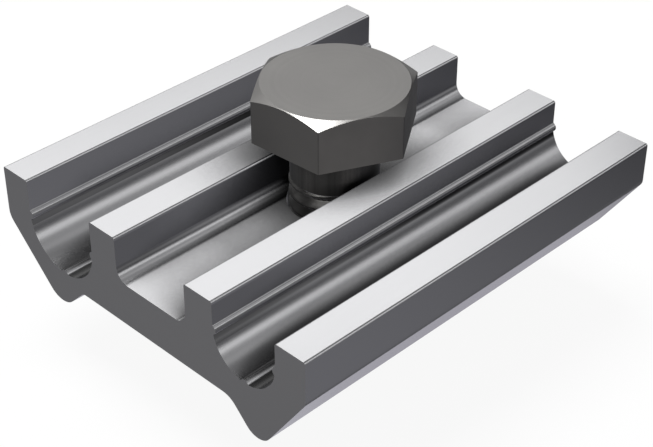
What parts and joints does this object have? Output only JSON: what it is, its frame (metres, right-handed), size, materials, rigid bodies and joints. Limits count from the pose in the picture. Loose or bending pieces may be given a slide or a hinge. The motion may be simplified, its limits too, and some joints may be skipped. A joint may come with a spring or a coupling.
{
  "type": "solar grounding clamp",
  "caption": "Grooved aluminium clamp body that a hexagon bolt and flange nut draw up against a rail, gripping round earthing conductors in its grooves.",
  "frame": {"origin": "on the bolt axis, in the plane of the rib tops where the rail seats", "axes": "+X across the body towards the smaller groove, +Y along the extrusion, +Z along the bolt towards its head"},
  "size_m": [0.0458, 0.052, 0.0308],
  "materials": {
    "extrusion": "extruded, satin, with sawn ends",
    "bolt_steel": "dark satin steel",
    "nut_steel": "dark satin steel"
  },
  "bodies": {
    "clamp": {"clamp_body": "extrusion"},
    "bolt": {"hex_bolt": "bolt_steel"},
    "nut": {"flange_nut": "nut_steel"}
  },
  "joints": [
    {"name": "bolt_draw", "type": "slide", "parent": "clamp", "child": "bolt", "axis": [0, 0, -1], "range_m": [-0.003, 0.0038]},
    {"name": "nut_turn", "type": "hinge", "parent": "clamp", "child": "nut", "pos_m": [0, 0, -0.0105], "axis": [0, 0, 1], "range_deg": [-721, 913]}
  ],
  "couplings": [
    {"joint": "nut_turn", "follows": "bolt_draw", "rad_per_m": 4188.8}
  ]
}
